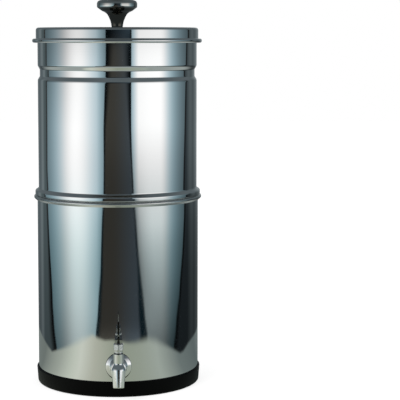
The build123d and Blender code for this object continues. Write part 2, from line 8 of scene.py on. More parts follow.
import bmesh
import bpy
import numpy as np
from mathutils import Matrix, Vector


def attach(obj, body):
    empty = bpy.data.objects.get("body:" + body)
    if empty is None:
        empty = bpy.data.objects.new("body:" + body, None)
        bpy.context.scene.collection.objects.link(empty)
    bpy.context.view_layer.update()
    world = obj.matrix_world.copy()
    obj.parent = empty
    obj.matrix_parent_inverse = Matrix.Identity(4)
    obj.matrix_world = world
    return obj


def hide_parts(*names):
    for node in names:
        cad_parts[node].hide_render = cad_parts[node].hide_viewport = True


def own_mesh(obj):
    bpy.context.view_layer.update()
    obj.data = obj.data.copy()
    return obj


MM = 0.001
SEGMENTS = 240
SHARP_ANGLE = 32

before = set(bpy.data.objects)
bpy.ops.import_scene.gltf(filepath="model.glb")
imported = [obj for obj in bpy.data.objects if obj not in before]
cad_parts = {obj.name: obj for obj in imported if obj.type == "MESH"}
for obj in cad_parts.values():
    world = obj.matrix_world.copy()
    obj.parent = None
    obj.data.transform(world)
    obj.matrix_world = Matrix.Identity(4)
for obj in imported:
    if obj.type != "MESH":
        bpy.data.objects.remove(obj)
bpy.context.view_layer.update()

# ---------------------------------------------------------------- sizes that the CAD nodes share

SHEET = 0.8

# lower chamber: outer radius, underside of its floor, top of its rim
LOWER_R = 108.0
BASE = 9.0
SEAT = 253.5

# upper chamber: wall, foot and bulge radii, underside of its floor, top of its rim
UPPER_R = 106.2
STEP_R = 103.5
BULGE_R = 110.7
FLOOR = 237.0
RIM = 475.7

# lid: skirt radius, top face, top of its rolled bead
LID_R = 108.35
LID_TOP = 476.5
BEAD_TOP = 461.9

# tap: height of its axis, line of its valve, middle of its ball, top of its neck, valve seat
TAP_Z = 41.5
SPOUT_Y = -142.0
ELBOW_Z = 43.5
NECK_TOP = 65.0
VALVE_SEAT = 36

# holes: candles left and right, plugs front and rear, tap, knob screw
CANDLE_X = 52.0
PLUG_Y = 70.0
FLOOR_HOLE_R = 5.1
TAP_HOLE_R = 8.2
SCREW_HOLE_R = 2.8
DRILL_LENGTH = 12

# ---------------------------------------------------------------- shader helpers


def srgb(*rgb):
    """Linear colour of an 8-bit sRGB one."""
    linear = [
        (c / 255 / 12.92) if c <= 10 else ((c / 255 + 0.055) / 1.055) ** 2.4 for c in rgb
    ]
    return (*linear, 1.0)


def darker(colour, factor):
    """The colour times factor, opaque."""
    return tuple(c * factor for c in colour[:3]) + (1.0,)


class Nodes:
    """Short calls for building a node tree. Each returns an output socket."""

    def __init__(self, tree):
        self.tree = tree
        tree.nodes.clear()

    def add(self, kind, inputs=(), output=0, **settings):
        """New node. inputs maps a socket's name or number to a value or another socket."""
        node = self.tree.nodes.new(kind)
        for key, value in settings.items():
            setattr(node, key, value)
        for key, value in dict(inputs).items():
            socket = node.inputs[key]
            if isinstance(value, bpy.types.NodeSocket):
                self.tree.links.new(value, socket)
            else:
                socket.default_value = value
        return node.outputs[output] if node.outputs else node

    def math(self, operation, a, b=0.0):
        return self.add("ShaderNodeMath", {0: a, 1: b}, operation=operation)

    def step(self, value, start, end):
        """0 before start, 1 after end, smooth between."""
        inputs = {"Value": value, "From Min": start, "From Max": end}
        return self.add("ShaderNodeMapRange", inputs, interpolation_type="SMOOTHSTEP")

    def ramp(self, value, low, high, stops):
        """Colour of value by (place, colour) stops between low and high."""
        node = self.tree.nodes.new("ShaderNodeValToRGB")
        elements = node.color_ramp.elements
        elements.remove(elements[1])
        for i, (place, colour) in enumerate(stops):
            at = (place - low) / (high - low)
            element = elements[0] if i == 0 else elements.new(at)
            element.position = at
            if not isinstance(colour, tuple):
                colour = (colour, colour, colour, 1.0)
            element.color = colour
        inputs = {"Value": value, "From Min": low, "From Max": high}
        self.tree.links.new(self.add("ShaderNodeMapRange", inputs), node.inputs[0])
        return node.outputs[0]

    def fade(self, value, start, end, low, high):
        """low up to start, high from end on, straight between."""
        return self.ramp(value, start, end, [(start, low), (end, high)])

    def mix(self, share, a, b, blend="MIX"):
        """Colour a at share 0, and colour b at share 1."""
        inputs = {0: share, 6: a, 7: b}
        return self.add(
            "ShaderNodeMix", inputs, output=2, data_type="RGBA", blend_type=blend
        )

    def multiplied(self, colour, other):
        return self.mix(1.0, colour, other, "MULTIPLY")

    def parts(self, vector):
        """X, Y and Z of a vector."""
        node = self.tree.nodes.new("ShaderNodeSeparateXYZ")
        self.tree.links.new(vector, node.inputs[0])
        return node.outputs

    def noise(self, scale, vector=None, detail=2.0, roughness=0.5):
        inputs = {"Scale": scale, "Detail": detail, "Roughness": roughness}
        if vector is not None:
            inputs["Vector"] = vector
        return self.add("ShaderNodeTexNoise", inputs)

    def stretched(self, scales):
        """Object coordinates scaled along X, Y and Z."""
        place = self.add("ShaderNodeTexCoord", output=3)
        return self.add("ShaderNodeMapping", {"Vector": place, "Scale": scales})

    def bump(self, height, strength, distance, normal=None):
        inputs = {"Height": height, "Strength": strength, "Distance": distance}
        if normal is not None:
            inputs["Normal"] = normal
        return self.add("ShaderNodeBump", inputs)


def material(name):
    """New material and its empty node tree."""
    made = bpy.data.materials.new(name)
    made.use_nodes = True
    return made, Nodes(made.node_tree)


def surface(nodes, inputs):
    """Principled shader with these inputs, joined to the output."""
    shader = nodes.add("ShaderNodeBsdfPrincipled", inputs)
    nodes.add("ShaderNodeOutputMaterial", {"Surface": shader})


# ---------------------------------------------------------------- materials


def polished_steel(name, colour, roughness, wave, lines):
    """Mirror-polished sheet: slow waves from pressing, polishing lines round it, faint smears.

    roughness is (least, most); wave and lines are the strengths of their bumps.
    """
    made, n = material(name)
    around = n.stretched((9, 9, 1300))
    smear = n.noise(14, n.stretched((1, 1, 0.5)), detail=4)
    dull = n.fade(smear, 0.3, 0.75, *roughness)
    fine = n.bump(n.noise(1.0, around, detail=3), lines, 0.0002)
    slow = n.bump(n.noise(9, n.stretched((1, 1, 0.8)), detail=1), wave, 0.004, fine)
    tint = n.mix(smear, colour, darker(colour, 0.965))
    surface(n, {"Base Color": tint, "Metallic": 1.0, "Roughness": dull, "Normal": slow})
    return made


def chrome(name, colour, roughness, wave, dark=None):
    """Plated casting: nearly a mirror, with a faint swell and a few rubbed patches.

    roughness is (least, most), and wave the strength of the swell. dark is (colour, fades): a
    painted shade colour, and from where to where it clears along each axis.
    """
    made, n = material(name)
    rubbed = n.noise(220, detail=5, roughness=0.6)
    dull = n.fade(rubbed, 0.35, 0.75, *roughness)
    swell = n.bump(n.noise(120, detail=1), wave, 0.0006)
    tint = n.mix(rubbed, colour, darker(colour, 0.94))
    if dark:
        painted_dark, fades = dark
        place = n.parts(n.add("ShaderNodeTexCoord", output=3))
        clear = 0.0
        for along, (start, end) in fades.items():
            clear = n.math("MAXIMUM", clear, n.step(place[along], start * MM, end * MM))
        # the dark colour is painted shade, laid over the plating wherever it has not cleared
        tint = n.mix(clear, painted_dark, tint)
    surface(n, {"Base Color": tint, "Metallic": 1.0, "Roughness": dull, "Normal": swell})
    return made


def rubber(name):
    """Moulded rubber: fine pores, dull patches and a little dust in the colour."""
    made, n = material(name)
    patches = n.noise(60, detail=4)
    pores = n.noise(1800, detail=3, roughness=0.7)
    dust = n.fade(n.noise(420, detail=6), 0.55, 0.8, 0.0, 0.35)
    base = n.mix(dust, (0.001, 0.0011, 0.0013, 1), (0.006, 0.0062, 0.0066, 1))
    roughness = n.fade(patches, 0.3, 0.7, 0.3, 0.46)
    surface(
        n,
        {
            "Base Color": base,
            "Roughness": roughness,
            "Normal": n.bump(pores, 0.25, 0.0001),
            "Specular IOR Level": 0.07,
        },
    )
    return made


def turned_metal(name, colour):
    """Machined metal: tool marks across the axis and slight stains."""
    made, n = material(name)
    stain = n.noise(160, detail=5)
    marks = n.noise(1.0, n.stretched((30, 30, 5200)), detail=2)
    base = n.mix(stain, colour, darker(colour, 0.86))
    roughness = n.fade(stain, 0.3, 0.75, 0.16, 0.32)
    surface(
        n,
        {
            "Base Color": base,
            "Metallic": 1.0,
            "Roughness": roughness,
            "Normal": n.bump(marks, 0.12, 0.0001),
        },
    )
    return made


def ceramic(name):
    """Unglazed filter ceramic: chalky, with fine grain, pinholes and pale stains."""
    made, n = material(name)
    cloud = n.noise(35, detail=5, roughness=0.6)
    grain = n.noise(900, detail=6, roughness=0.75)
    pin = n.add("ShaderNodeTexVoronoi", {"Scale": 420.0}, feature="F1")
    holes = n.fade(pin, 0.0, 0.16, 0.0, 1.0)
    base = n.mix(cloud, (0.80, 0.775, 0.71, 1), (0.87, 0.855, 0.81, 1))
    base = n.mix(n.fade(grain, 0.3, 0.8, 0.0, 0.3), base, (0.70, 0.66, 0.58, 1))
    height = n.mix(0.5, grain, holes)
    surface(
        n,
        {
            "Base Color": base,
            "Roughness": 0.82,
            "Normal": n.bump(height, 0.35, 0.0002),
            "Specular IOR Level": 0.3,
        },
    )
    return made


def moulded_plastic(name):
    """White moulded plastic with a slight orange-peel skin."""
    made, n = material(name)
    cloud = n.noise(50, detail=3)
    skin = n.noise(700, detail=2)
    base = n.mix(cloud, (0.80, 0.80, 0.775, 1), (0.86, 0.86, 0.84, 1))
    roughness = n.fade(cloud, 0.3, 0.7, 0.26, 0.4)
    surface(
        n,
        {
            "Base Color": base,
            "Roughness": roughness,
            "Normal": n.bump(skin, 0.12, 0.0002),
            "Subsurface Weight": 0.08,
            "Subsurface Radius": (0.002, 0.002, 0.0018),
        },
    )
    return made


def pressed_carbon(name):
    """Black block of pressed carbon grains."""
    made, n = material(name)
    grain = n.noise(1500, detail=6, roughness=0.8)
    base = n.mix(grain, (0.016, 0.016, 0.017, 1), (0.055, 0.055, 0.056, 1))
    surface(n, {"Base Color": base, "Roughness": 0.75, "Normal": n.bump(grain, 0.6, 0.0003)})
    return made


MIRROR = (0.03, 0.07)
# painted shade: the knob's neck is darkened up to its cap; painted dark reflection: the lever's blade
# is darkened on its front edge
PAINTED_SHADE_NECK = ((0.165, 0.155, 0.135, 1), {"Z": (501, 504)})
PAINTED_DARK_REFLECTION_FRONT = ((0.03, 0.029, 0.028, 1), {"Z": (90.2, 89), "Y": (-143, -141)})

STEEL = polished_steel(
    "polished_steel", (0.86, 0.865, 0.865, 1), roughness=(0.03, 0.06), wave=0.05, lines=0.012
)
STEEL_INSIDE = polished_steel(
    "steel_inside", (0.80, 0.80, 0.795, 1), roughness=(0.16, 0.26), wave=0.06, lines=0.08
)
# the knob's neck below its cap carries painted shade
KNOB = chrome(
    "knob_chrome", (0.62, 0.62, 0.60, 1), roughness=MIRROR, wave=0.02, dark=PAINTED_SHADE_NECK
)
CHROME = chrome("tap_chrome", (0.94, 0.945, 0.95, 1), roughness=(0.02, 0.055), wave=0.05)
CAP_CHROME = chrome("cap_chrome", (0.76, 0.765, 0.77, 1), roughness=MIRROR, wave=0.3)
# the lever's blade is darkened on its front edge as a painted dark reflection
LEVER = chrome(
    "lever_chrome", (0.42, 0.425, 0.43, 1), roughness=(0.03, 0.08), wave=0.25, dark=PAINTED_DARK_REFLECTION_FRONT
)
RUBBER = rubber("black_rubber")
FASTENER = turned_metal("fastener_steel", (0.60, 0.60, 0.59, 1))
# the valve stem's dark colour is painted shade, for where it sits between the lever's ears
STEM = turned_metal("stem_painted_shade_steel", (0.12, 0.115, 0.105, 1))
CERAMIC = ceramic("white_ceramic")
PLASTIC = moulded_plastic("white_plastic")
CARBON = pressed_carbon("pressed_carbon")

# ---------------------------------------------------------------- shape helpers


def rounded(points, radii, step=8):
    """Polyline with each inner corner turned into an arc of its radius, in steps of so many degrees."""
    path = [Vector(points[0])]
    for before, corner, after, radius in zip(points, points[1:], points[2:], radii):
        corner = Vector(corner)
        back = (Vector(before) - corner).normalized()
        on = (Vector(after) - corner).normalized()
        half = back.angle(on) / 2
        centre = corner + (back + on).normalized() * (radius / sin(half))
        start = corner + back * (radius / tan(half)) - centre
        end = corner + on * (radius / tan(half)) - centre
        turn = atan2(start.x * end.y - start.y * end.x, start.dot(end))
        count = max(3, ceil(abs(turn) / radians(step)))
        for i in range(count + 1):
            a = turn * i / count
            x = start.x * cos(a) - start.y * sin(a)
            y = start.x * sin(a) + start.y * cos(a)
            path.append(centre + Vector((x, y)))
    path.append(Vector(points[-1]))
    return path


def supported(path, near=0.5, spacing=12.0):
    """Adds points beside the ends of each long straight run, and along it."""
    out = [path[0]]
    for a, b in zip(path, path[1:]):
        length = (b - a).length
        if length > 6 * near:
            count = max(1, ceil((length - 2 * near) / spacing))
            for i in range(count + 1):
                reach = near + (length - 2 * near) * i / count
                out.append(a.lerp(b, reach / length))
        out.append(b)
    return out


def shifted(path, amount):
    """The path moved sideways, to its left where the amount is positive."""
    out = []
    for i, point in enumerate(path):
        sides = []
        for a, b in ((i - 1, i), (i, i + 1)):
            if 0 <= a and b < len(path) and (path[b] - path[a]).length > 1e-9:
                run = (path[b] - path[a]).normalized()
                sides.append(Vector((-run.y, run.x)))
        middle = sum(sides, Vector((0, 0))).normalized()
        out.append(point + middle * (amount / middle.dot(sides[0])))
    return out


def new_object(name, verts, faces, slots, face_slots=None):
    """Smooth mesh in metres, creased at its sharp edges, with these materials."""
    mesh = bpy.data.meshes.new(name)
    mesh.from_pydata([tuple(v) for v in verts], [], faces)
    if face_slots is not None:
        mesh.polygons.foreach_set("material_index", face_slots)
    work = bmesh.new()
    work.from_mesh(mesh)
    bmesh.ops.recalc_face_normals(work, faces=work.faces)
    work.to_mesh(mesh)
    work.free()
    mesh.shade_smooth()
    mesh.set_sharp_from_angle(angle=radians(SHARP_ANGLE))
    for slot in slots:
        mesh.materials.append(slot)
    made = bpy.data.objects.new(name, mesh)
    bpy.context.collection.objects.link(made)
    return made


def lathe(name, loop, slots, kinds=None, segments=SEGMENTS, centre=(0, 0, 0), axis="Z"):
    """Closed profile of (radius, height) turned about an axis; kinds has each side's slot."""
    rings, verts = [], []
    for radius, height in loop:
        if radius < 1e-6:
            rings.append([len(verts)] * segments)
            verts.append((0, 0, height))
            continue
        rings.append(list(range(len(verts), len(verts) + segments)))
        for i in range(segments):
            a = 2 * pi * i / segments
            verts.append((radius * sin(a), -radius * cos(a), height))
    faces, face_slots = [], []
    for k, ring in enumerate(rings):
        other = rings[(k + 1) % len(rings)]
        if ring[0] == ring[1] and other[0] == other[1]:
            continue
        for i in range(segments):
            j = (i + 1) % segments
            corners = []
            for v in (ring[i], ring[j], other[j], other[i]):
                if v not in corners:
                    corners.append(v)
            faces.append(corners)
            face_slots.append(kinds[k] if kinds else 0)
    if axis == "Y":
        verts = [(x, -z, y) for x, y, z in verts]
    verts = [(Vector(v) + Vector(centre)) * MM for v in verts]
    return new_object(name, verts, faces, slots, face_slots)


def shell(name, face, thickness, inner_first, spacing=12.0, model=None):
    """Sheet vessel: face is one side of the sheet, and inner_first tells that it is the inner one.

    The other side lies thickness to the left of face, or of model where that is given.
    """
    face = supported(face, spacing=spacing)
    other = shifted(supported(model, spacing=spacing) if model else face, thickness)
    loop = face + other[::-1]
    inside, outside = (0, 1) if inner_first else (1, 0)
    kinds = [inside] * (len(face) - 1) + [1] + [outside] * (len(other) - 1) + [1]
    return lathe(name, loop, [STEEL_INSIDE, STEEL], kinds)


def bore(made, holes):
    """Drills straight round holes through a sheet: (centre, radius, axis) in millimetres."""
    for centre, radius, axis in holes:
        bpy.ops.mesh.primitive_cylinder_add(
            vertices=96,
            radius=radius * MM,
            depth=DRILL_LENGTH * MM,
            location=Vector(centre) * MM,
            rotation=(pi / 2 if axis == "Y" else 0, 0, 0),
        )
        drill = bpy.context.object
        cut = made.modifiers.new("cut", "BOOLEAN")
        cut.operation, cut.solver, cut.object = "DIFFERENCE", "EXACT", drill
        bpy.context.view_layer.update()
        seen = made.evaluated_get(bpy.context.evaluated_depsgraph_get())
        mesh = bpy.data.meshes.new_from_object(seen)
        made.modifiers.clear()
        made.data = mesh
        bpy.data.objects.remove(drill)


def dress(made, body, nodes):
    """Puts a piece on its body in place of its CAD nodes."""
    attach(made, body)
    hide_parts(*nodes)


def coat(looks, *nodes):
    """Gives CAD nodes that stay their material."""
    for node in nodes:
        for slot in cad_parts[node].material_slots:
            slot.material = looks


# ---------------------------------------------------------------- chambers, ring and lid

VESSEL_SPACING = 6.0
FLOOR_EDGE = 8

# the lower chamber's face is its inside; its rim is rolled outward and down
RIM_REACH = 4.4
ROLL_REACH = 1.3
ROLL_SIDE = 3.5
ROLL_END = 6.2
inside_r = LOWER_R - SHEET
lower_face = rounded(
    [
        (0, BASE + SHEET),
        (inside_r, BASE + SHEET),
        (inside_r, SEAT),
        (LOWER_R + RIM_REACH, SEAT),
        (LOWER_R + RIM_REACH, SEAT - ROLL_SIDE),
        (LOWER_R + ROLL_REACH, SEAT - ROLL_END),
    ],
    radii=[FLOOR_EDGE - SHEET, 1.0, 2.2, 2.0],
)
lower_chamber = shell(
    "lower_chamber_sheet", lower_face, -SHEET, inner_first=True, spacing=VESSEL_SPACING
)
bore(lower_chamber, [((0, -LOWER_R, TAP_Z), TAP_HOLE_R, "Y")])
dress(lower_chamber, "lower_unit", ["lower_chamber"])

# the upper chamber's face is its outside: foot, bulge with a sloping shoulder, sunken band
BULGE_SIDE = 6.4
BULGE_END = 9.4
BAND_DEPTH = 2.8
BAND_BELOW_RIM = (68, 63.8, 54.5, 49.7)
band_foot, band_low, band_high, band_head = (RIM - below for below in BAND_BELOW_RIM)
band_r = UPPER_R - BAND_DEPTH
upper_face = rounded(
    [
        (0, FLOOR),
        (STEP_R, FLOOR),
        (STEP_R, SEAT),
        (BULGE_R, SEAT),
        (BULGE_R, SEAT + BULGE_SIDE),
        (UPPER_R, SEAT + BULGE_END),
        (UPPER_R, band_foot),
        (band_r, band_low),
        (band_r, band_high),
        (UPPER_R, band_head),
        (UPPER_R, RIM),
    ],
    radii=[FLOOR_EDGE, 1.2, 1.8, 2.2, 2.0, 6.0, 2.4, 3.0, 5.0],
)
upper_chamber = shell(
    "upper_chamber_sheet", upper_face, SHEET, inner_first=False, spacing=VESSEL_SPACING
)
floor_holes = ((CANDLE_X, 0), (-CANDLE_X, 0), (0, PLUG_Y), (0, -PLUG_Y))
bore(upper_chamber, [((x, y, FLOOR), FLOOR_HOLE_R, "Z") for x, y in floor_holes])
dress(upper_chamber, "upper_unit", ["upper_chamber"])

# the hem that its rim is folded into
HEM_INNER = UPPER_R - 0.2
HEM_OUTER = UPPER_R + 0.75
HEM_TOP = RIM - 0.1
HEM_FOOT = RIM - 4
hem_corners = [
    (HEM_INNER, HEM_TOP),
    (HEM_OUTER, HEM_TOP),
    (HEM_OUTER, HEM_FOOT),
    (HEM_INNER, HEM_FOOT),
]
hem = supported(rounded(hem_corners, radii=[0.5, 0.3]))
dress(lathe("upper_rim_hem", hem, [STEEL]), "upper_unit", ["upper_chamber"])

# the rubber ring: a foot under the chamber and a wall that widens upward around it
RING_INNER = 94
RING_TOP = 20.5
RING_FOOT_REACH = 0.9
RING_TOP_REACH = 2.4
RING_GAP = 0.05
ring_face = rounded(
    [
        (RING_INNER, 0),
        (LOWER_R + RING_FOOT_REACH, 0),
        (LOWER_R + RING_TOP_REACH, RING_TOP),
        (LOWER_R + RING_GAP, RING_TOP),
        (LOWER_R + RING_GAP, BASE),
        (RING_INNER, BASE),
        (RING_INNER, 0),
    ],
    radii=[3.0, 0.9, 0.4, FLOOR_EDGE, 0.6],
)
base_ring = lathe("rubber_ring", supported(ring_face[:-1]), [RUBBER])
dress(base_ring, "lower_unit", ["base_ring"])

# the lid: a cap whose skirt ends in a rolled bead
BEAD_REACH = 4.8
BEAD_END_REACH = 0.9
BEAD_HEIGHT = 5.5
LID_EDGE_OUTSIDE = 3.6
LID_EDGE_INSIDE = 2.5
LID_ROUNDINGS = [0.6, 2.5, 2.5]
lid_corners = [
    (0, LID_TOP),
    (LID_R, LID_TOP),
    (LID_R, BEAD_TOP),
    (LID_R + BEAD_REACH, BEAD_TOP),
    (LID_R + BEAD_REACH, BEAD_TOP - BEAD_HEIGHT),
    (LID_R + BEAD_END_REACH, BEAD_TOP - BEAD_HEIGHT),
]
# the pressing thins the sheet at the lid's edge: its outside is rounder than its inside
lid_face = rounded(lid_corners, radii=[LID_EDGE_OUTSIDE, *LID_ROUNDINGS])
lid_model = rounded(lid_corners, radii=[LID_EDGE_INSIDE, *LID_ROUNDINGS])
lid = shell("lid_sheet", lid_face, -SHEET, inner_first=False, model=lid_model)
bore(lid, [((0, 0, LID_TOP), SCREW_HOLE_R, "Z")])
dress(lid, "lid", ["lid_shell"])

# ---------------------------------------------------------------- knob

# (radius, height) from the foot up: flaring neck, turned-in edge of the cap, domed crown
KNOB_FOOT = [(0, 477.5), (7.3, 477.5)]
KNOB_NECK = [(7.6, 477.9), (8.3, 482.4), (9.7, 487.1), (13.0, 493.7), (16.4, 496.75), (20.2, 498.5)]
KNOB_EDGE = [(22.4, 500.1), (24.7, 501.8), (26.0, 502.7), (26.7, 503.5), (26.85, 504.5)]
KNOB_EDGE += [(26.9, 506.2), (26.85, 508.5)]
KNOB_CROWN = [(26.55, 509.6), (25.6, 511.3), (23.2, 512.7), (19.5, 513.6), (10.5, 514.2), (0, 514.3)]


def curve(points, count=10):
    """Smooth line through the points (Catmull-Rom), as a list."""
    points = [Vector(point) for point in points]
    out = []
    ends = [2 * points[0] - points[1], *points, 2 * points[-1] - points[-2]]
    for a, b, c, d in zip(ends, ends[1:], ends[2:], ends[3:]):
        for i in range(count):
            t = i / count
            first = 2 * b + (c - a) * t
            second = (2 * a - 5 * b + 4 * c - d) * t * t
            third = (3 * b - a - 3 * c + d) * t**3
            out.append(0.5 * (first + second + third))
    out.append(points[-1])
    return out


knob_line = KNOB_FOOT + curve(KNOB_NECK) + KNOB_EDGE + curve(KNOB_CROWN)
knob = lathe("knob_turned", knob_line, [KNOB], segments=160)
dress(knob, "lid", ["lid_knob"])

# ---------------------------------------------------------------- tap casting

SETTLING_ROUNDS = 3


def grown(name, distance, low, high, cell, slots):
    """Mesh of the surface where distance (millimetres) is zero: a vertex in each crossed cell.

    Each vertex then settles onto the surface and takes its normal from it.
    """
    low = np.array(low, float)
    axes = [np.arange(a, b + cell, cell) for a, b in zip(low, high)]
    values = distance(*np.meshgrid(*axes, indexing="ij"))
    solid = values < 0
    corners = np.array([(i, j, k) for i in (0, 1) for j in (0, 1) for k in (0, 1)])
    counts = sum(
        solid[tuple(slice(c, c - 1 or None) for c in corner)].astype(int) for corner in corners
    )
    crossed = (counts > 0) & (counts < 8)
    cells = np.argwhere(crossed)
    index = np.full(crossed.shape, -1)
    index[crossed] = np.arange(len(cells))
    total, hits = np.zeros((len(cells), 3)), np.zeros((len(cells), 1))
    faces = []
    for axis, unit in enumerate(np.eye(3, dtype=int)):
        for corner in corners[corners[:, axis] == 0]:
            start = values[tuple((cells + corner).T)]
            end = values[tuple((cells + corner + unit).T)]
            change = ((start < 0) != (end < 0))[:, None]
            share = start / np.where(start == end, 1, start - end)
            total += np.where(change, corner + share[:, None] * unit, 0)
            hits += change
        lower = solid[tuple(slice(0, -1) if i == axis else slice(None) for i in range(3))]
        upper = solid[tuple(slice(1, None) if i == axis else slice(None) for i in range(3))]
        edges = np.argwhere(lower != upper)
        u, v = np.roll(unit, 1), np.roll(unit, 2)
        quads = np.stack([index[tuple((edges - s).T)] for s in (0 * u, u, u + v, v)], axis=1)
        outward = lower[tuple(edges.T)][:, None]
        faces.append(np.where(outward, quads, quads[:, ::-1]))
    place = low + (cells + total / hits) * cell
    for _ in range(SETTLING_ROUNDS):
        normal = slope(distance, place)
        place -= normal * distance(*place.T)[:, None]
    normal = slope(distance, place)
    mesh = bpy.data.meshes.new(name)
    mesh.from_pydata((place * MM).tolist(), [], np.concatenate(faces).tolist())
    mesh.shade_smooth()
    mesh.normals_split_custom_set_from_vertices(normal.tolist())
    for slot in slots:
        mesh.materials.append(slot)
    made = bpy.data.objects.new(name, mesh)
    bpy.context.collection.objects.link(made)
    return made


def slope(distance, place, near=0.02):
    """Unit outward directions of the distance at these points."""
    steps = near * np.eye(3)
    changes = [distance(*(place + step).T) - distance(*(place - step).T) for step in steps]
    found = np.stack(changes, axis=1)
    return found / np.linalg.norm(found, axis=1)[:, None]


def joined(a, b, reach):
    """Union with a fillet about 0.85 of reach."""
    h = np.clip(0.5 + 0.5 * (b - a) / reach, 0, 1)
    return b + (a - b) * h - reach * h * (1 - h)


def drum(along, radial, start, end, radius, edge):
    """Round bar with rounded ends, from the distance along its axis and away from it."""
    side = radial - radius + edge
    cap = np.maximum(start - along, along - end) + edge
    outside = np.hypot(np.maximum(side, 0), np.maximum(cap, 0))
    return np.minimum(np.maximum(side, cap), 0) + outside - edge


# places along the tap's axis, counted out from the chambers' axis
SHANK_END = 81.2
FLANGE_BACK = 109.6
FLANGE_FRONT = 113.2
HUB_FRONT = 116.8
DOME_CENTRE = 80.1

# radii, and how much a radius changes per millimetre
DOME_R = 35
FLANGE_R = 16.6
SHANK_R = 8
HUB_R = 11.4
BARREL_R = 9.75
BARREL_TAPER = 0.0377
BALL_R = 9.1
SPOUT_R = 9.067
SPOUT_TAPER = 0.0867
NECK_R = 5.85
NECK_TAPER = 0.014

SPOUT_LENGTH = 22.3
SPOUT_LEAN = radians(10)

# bores: through the shank, the neck, the valve's seat and the spout
SHANK_BORE_R = 4.8
NECK_BORE_R = 5
SEAT_BORE_R = 3.4
SEAT_BORE_HALF = 4
SPOUT_BORE_R = 5.4
SPOUT_BORE_START = 10.6


def casting(x, y, z):
    """Flange, hub, barrel, ball, neck and spout in one, with their waterways.

    Each bar starts inside its neighbour, and a fillet joins the two.
    """
    out, rise = -y, z - TAP_Z
    radial = np.hypot(x, rise)
    dome = np.sqrt(radial * radial + (out - DOME_CENTRE) ** 2) - DOME_R
    disc = drum(out, radial, 100, FLANGE_FRONT, FLANGE_R, edge=0.9)
    flange = -joined(-np.maximum(disc, FLANGE_BACK - out), -dome, reach=0.5)
    shank = drum(out, radial, SHANK_END, 112, SHANK_R, edge=0.4)
    hub = drum(out, radial, 109, HUB_FRONT, HUB_R, edge=2.6)
    body = joined(np.minimum(shank, flange), hub, reach=1.0)
    barrel_r = BARREL_R - BARREL_TAPER * (out - HUB_FRONT)
    barrel = drum(out, radial, 114, -SPOUT_Y, barrel_r, edge=0.5)
    body = joined(body, barrel, reach=1.8)

    ahead, up = y - SPOUT_Y, z - ELBOW_Z
    along = -ahead * sin(SPOUT_LEAN) - up * cos(SPOUT_LEAN)
    across = np.hypot(x, ahead * cos(SPOUT_LEAN) - up * sin(SPOUT_LEAN))
    ball = np.sqrt(x * x + ahead * ahead + up * up) - BALL_R
    spout_r = SPOUT_R - SPOUT_TAPER * (along - 0.77)
    spout = drum(along, across, 0, SPOUT_LENGTH, spout_r, edge=0.8)
    body = joined(body, np.minimum(ball, spout), reach=2.6)
    stem = np.hypot(x, ahead)
    neck = drum(z, stem, ELBOW_Z, NECK_TOP, NECK_R + NECK_TAPER * up, edge=0.4)
    body = joined(body, neck, reach=2.4)

    shank_bore = np.maximum(radial - SHANK_BORE_R, out + SPOUT_Y)
    neck_bore = np.maximum(stem - NECK_BORE_R, VALVE_SEAT - z)
    seat_bore = np.maximum(stem - SEAT_BORE_R, np.abs(z - VALVE_SEAT) - SEAT_BORE_HALF)
    spout_bore = np.maximum(across - SPOUT_BORE_R, SPOUT_BORE_START - along)
    bores = np.minimum.reduce([shank_bore, neck_bore, seat_bore, spout_bore])
    return -joined(-body, bores, reach=0.5)


# bonnet: heights and radii of its hexagon, the bevels' radii, its waist and its spigot
HEX_LOW = 68.9
HEX_TOP = 78.3
HEX_HALF_WIDTH = 6.1
HEX_CORNER_R = 6.75
TOP_BEVEL_R = 5.6
LOW_BEVEL_R = 5.3
WAIST_R = 5.35
SPIGOT_END = 57.9
SPIGOT_R = 4.95
SPRING_BORE_R = 4.1
SPRING_BORE_TOP = 73.9
STEM_BORE_R = 2.55


def bonnet(x, y, z):
    """Six-sided cap with turned corners on a round waist, and its spigot inside the neck."""
    ahead = y - SPOUT_Y
    stem = np.hypot(x, ahead)
    sides = [np.abs(x * cos(radians(a)) + ahead * sin(radians(a))) for a in (0, 60, 120)]
    flats = np.maximum.reduce(sides) - HEX_HALF_WIDTH
    top_bevel = 0.8 * (stem - TOP_BEVEL_R) - 0.6 * (HEX_TOP - z)
    low_bevel = 0.8 * (stem - LOW_BEVEL_R) - 0.6 * (z - HEX_LOW)
    ends = np.maximum(HEX_LOW - z, z - HEX_TOP)
    cap = np.maximum.reduce([flats, stem - HEX_CORNER_R, top_bevel, low_bevel, ends])
    waist = drum(z, stem, 65.9, 72, WAIST_R, edge=0.4)
    spigot = drum(z, stem, SPIGOT_END, 67, SPIGOT_R, edge=0.3)
    body = np.minimum(joined(cap, waist, reach=0.8), spigot)
    spring_bore = np.maximum(stem - SPRING_BORE_R, z - SPRING_BORE_TOP)
    bores = np.minimum(spring_bore, stem - STEM_BORE_R)
    return -joined(-body, bores, reach=0.4)


tap_bonnet = grown(
    "tap_cap",
    bonnet,
    low=(-7.6, -149.6, 57),
    high=(7.6, -134.4, 79.5),
    cell=0.25,
    slots=[CAP_CHROME],
)
dress(tap_bonnet, "lower_unit", ["tap_bonnet"])
tap_casting = grown(
    "tap_casting",
    casting,
    low=(-17.5, -154.5, 19),
    high=(17.5, -80, 66.5),
    cell=0.4,
    slots=[CHROME],
)
dress(tap_casting, "lower_unit", ["tap_body"])

